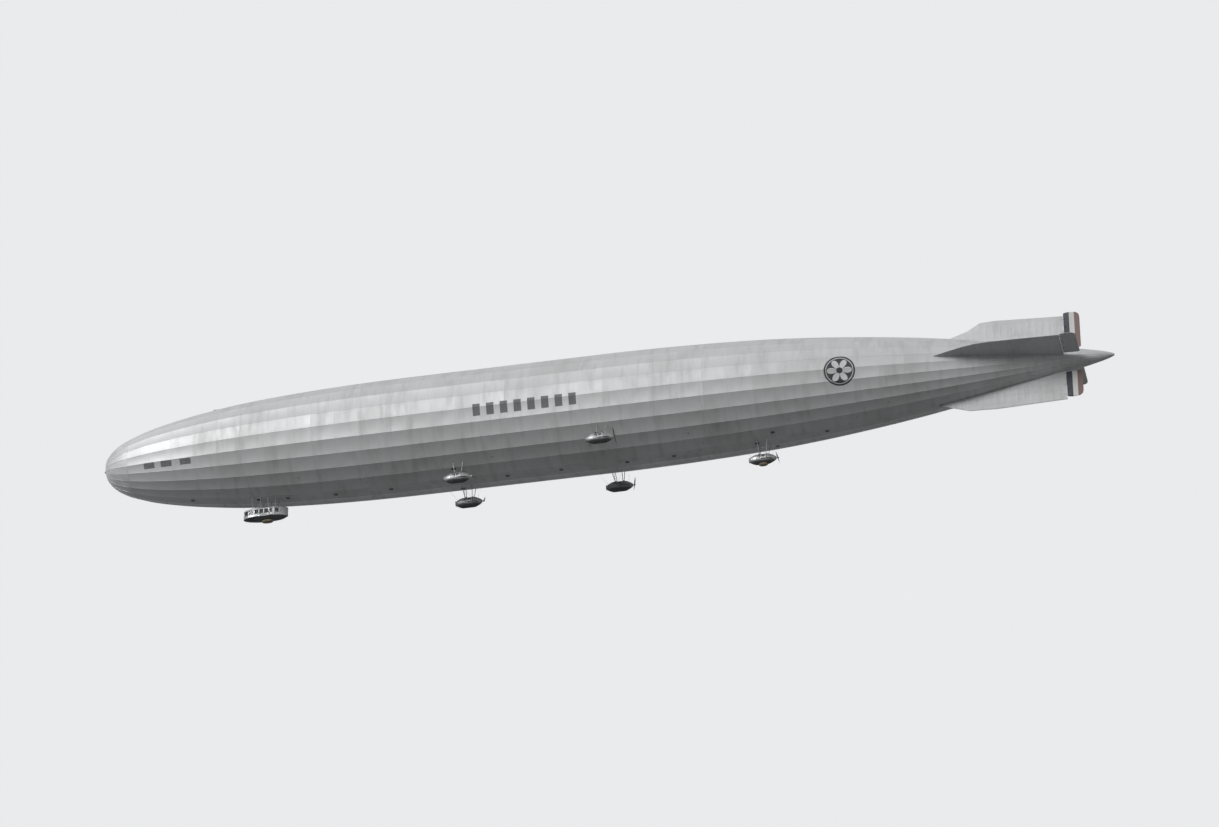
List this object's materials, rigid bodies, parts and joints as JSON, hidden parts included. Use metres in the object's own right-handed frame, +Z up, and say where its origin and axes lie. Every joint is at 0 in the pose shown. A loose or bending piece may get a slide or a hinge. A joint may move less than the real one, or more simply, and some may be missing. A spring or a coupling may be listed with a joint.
{
  "type": "rigid airship of the 1920s, a 1:10 scale model",
  "caption": "Scale model of a long rigid airship: a faceted fabric-covered hull with tail fins, turning rudders and elevators, a control car and engine cars hung below.",
  "frame": {"origin": "the centre of buoyancy, on the axis of the hull", "axes": "+X forward along the hull, +Y to port, +Z up"},
  "size_m": [20.7263, 2.3952, 2.84],
  "materials": {
    "cover": "doped aluminium silver",
    "cap": "satin",
    "rudder_cover": "doped, with upright stripes",
    "steel": "grey paint",
    "car_panel": "weathered sheet",
    "glass": "clear",
    "core": "blackened honeycomb",
    "engine": "black paint",
    "propeller": "varnished laminations",
    "instrument": "varnished, with brass",
    "bumper": "laced bag"
  },
  "bodies": {
    "hull": {"bow_cover": "cover", "forward_cover": "cover", "midship_cover": "cover", "port_hatch_panel": "cover", "starboard_hatch_panel": "cover", "aft_cover": "cover", "stern_cover": "cover", "tail_cone": "cover", "upper_fin": "cover", "port_fin": "cover", "lower_fin": "cover", "starboard_fin": "cover", "nose_cap": "cap", "mooring_spindle": "steel", "top_platform": "steel", "upper_to_port_stay": "steel", "port_to_lower_stay": "steel", "lower_to_starboard_stay": "steel", "starboard_to_upper_stay": "steel", "control_car_struts": "steel", "control_car_ladder": "steel", "port_forward_car": "car_panel", "port_forward_engine": "engine", "port_forward_radiator": "core", "port_forward_struts": "steel", "starboard_forward_car": "car_panel", "starboard_forward_engine": "engine", "starboard_forward_radiator": "core", "starboard_forward_struts": "steel", "port_midship_car": "car_panel", "port_midship_engine": "engine", "port_midship_radiator": "core", "port_midship_struts": "steel", "starboard_midship_car": "car_panel", "starboard_midship_engine": "engine", "starboard_midship_radiator": "core", "starboard_midship_struts": "steel", "aft_car": "car_panel", "aft_engine": "engine", "aft_radiator": "core", "aft_struts": "steel", "aft_bumping_bag": "bumper", "control_bumping_bag": "bumper", "control_car": "car_panel", "control_car_roof": "car_panel", "control_car_glass": "glass", "rudder_wheel": "instrument", "elevator_wheel": "instrument"},
    "upper_rudder": {"upper_rudder": "rudder_cover"},
    "lower_rudder": {"lower_rudder": "rudder_cover"},
    "port_elevator": {"port_elevator": "rudder_cover"},
    "starboard_elevator": {"starboard_elevator": "rudder_cover"},
    "control_car_door": {"control_car_door": "car_panel"},
    "port_forward_propeller": {"port_forward_propeller": "propeller"},
    "starboard_forward_propeller": {"starboard_forward_propeller": "propeller"},
    "port_midship_propeller": {"port_midship_propeller": "propeller"},
    "starboard_midship_propeller": {"starboard_midship_propeller": "propeller"},
    "aft_propeller": {"aft_propeller": "propeller"}
  },
  "joints": [
    {"name": "upper_rudder_hinge", "type": "hinge", "parent": "hull", "child": "upper_rudder", "pos_m": [-9.917, 0, 0.65], "axis": [0, 0, 1], "range_deg": [-20, 20]},
    {"name": "lower_rudder_hinge", "type": "hinge", "parent": "hull", "child": "lower_rudder", "pos_m": [-9.917, 0, -0.65], "axis": [0, 0, 1], "range_deg": [-20, 20]},
    {"name": "port_elevator_hinge", "type": "hinge", "parent": "hull", "child": "port_elevator", "pos_m": [-9.917, 0.65, 0], "axis": [0, 1, 0], "range_deg": [-20, 20]},
    {"name": "starboard_elevator_hinge", "type": "hinge", "parent": "hull", "child": "starboard_elevator", "pos_m": [-9.917, -0.65, 0], "axis": [0, 1, 0], "range_deg": [-20, 20]},
    {"name": "port_forward_propeller_spin", "type": "hinge", "parent": "hull", "child": "port_forward_propeller", "pos_m": [2.005, 0.49, -1.405], "axis": [1, 0, 0], "continuous": true},
    {"name": "starboard_forward_propeller_spin", "type": "hinge", "parent": "hull", "child": "starboard_forward_propeller", "pos_m": [2.005, -0.49, -1.405], "axis": [1, 0, 0], "continuous": true},
    {"name": "port_midship_propeller_spin", "type": "hinge", "parent": "hull", "child": "port_midship_propeller", "pos_m": [-0.995, 0.95, -1.15], "axis": [1, 0, 0], "continuous": true},
    {"name": "starboard_midship_propeller_spin", "type": "hinge", "parent": "hull", "child": "starboard_midship_propeller", "pos_m": [-0.995, -0.95, -1.15], "axis": [1, 0, 0], "continuous": true},
    {"name": "aft_propeller_spin", "type": "hinge", "parent": "hull", "child": "aft_propeller", "pos_m": [-4.095, 0, -1.485], "axis": [1, 0, 0], "continuous": true},
    {"name": "control_car_door_hinge", "type": "hinge", "parent": "hull", "child": "control_car_door", "pos_m": [6.3045, 0.126, -1.441], "axis": [0, 0, 1], "range_deg": [-100, 0]}
  ],
  "couplings": [
    {"joint": "lower_rudder_hinge", "follows": "upper_rudder_hinge", "ratio": 1},
    {"joint": "starboard_elevator_hinge", "follows": "port_elevator_hinge", "ratio": 1}
  ]
}
